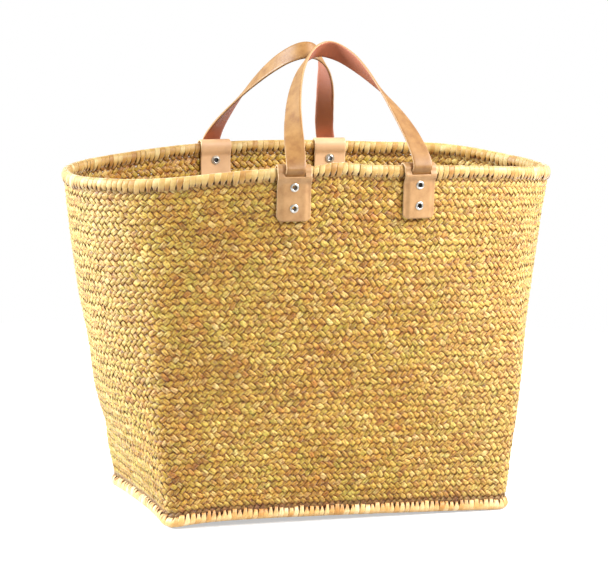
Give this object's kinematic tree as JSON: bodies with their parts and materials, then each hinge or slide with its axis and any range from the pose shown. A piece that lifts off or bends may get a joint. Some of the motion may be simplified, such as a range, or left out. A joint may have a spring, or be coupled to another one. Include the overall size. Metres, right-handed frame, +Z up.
{
  "type": "woven market basket",
  "caption": "Soft plaited seagrass market basket with a whipped oval rim, rectangular base and leather strap handles on eyeletted patches.",
  "frame": {"origin": "on the floor plane, under the middle of the basket", "axes": "+X along the mouth's length, +Y from the front handle to the back handle, +Z up"},
  "size_m": [0.5022, 0.286, 0.4584],
  "materials": {
    "plaited_straw": "satin",
    "whipping_strand": "satin",
    "reed": "matte",
    "strap_leather": "satin",
    "patch_leather": "satin",
    "nickel": "polished"
  },
  "bodies": {
    "basket": {"wall_mat": "plaited_straw", "base_mat": "plaited_straw", "rim_core": "reed", "base_core": "reed", "rim_binding": "whipping_strand", "base_binding": "whipping_strand", "patch_front_left": "patch_leather", "patch_front_right": "patch_leather", "patch_back_left": "patch_leather", "patch_back_right": "patch_leather", "strap_end_front_left": "strap_leather", "strap_end_front_right": "strap_leather", "strap_end_back_left": "strap_leather", "strap_end_back_right": "strap_leather", "eyelet_front_left_upper": "nickel", "eyelet_front_left_lower": "nickel", "eyelet_front_right_upper": "nickel", "eyelet_front_right_lower": "nickel", "eyelet_back_left_upper": "nickel", "eyelet_back_left_lower": "nickel", "eyelet_back_right_upper": "nickel", "eyelet_back_right_lower": "nickel", "washer_front_left_upper": "nickel", "washer_front_left_lower": "nickel", "washer_front_right_upper": "nickel", "washer_front_right_lower": "nickel", "washer_back_left_upper": "nickel", "washer_back_left_lower": "nickel", "washer_back_right_upper": "nickel", "washer_back_right_lower": "nickel"},
    "front_loop": {"front_handle": "strap_leather"},
    "back_loop": {"back_handle": "strap_leather"}
  },
  "joints": [
    {"name": "front_handle_swing", "type": "hinge", "parent": "basket", "child": "front_loop", "pos_m": [0, -0.14176, 0.3444], "axis": [1, 0, 0], "range_deg": [0, 168]},
    {"name": "back_handle_swing", "type": "hinge", "parent": "basket", "child": "back_loop", "pos_m": [0, 0.14176, 0.3444], "axis": [-1, 0, 0], "range_deg": [0, 168]}
  ]
}
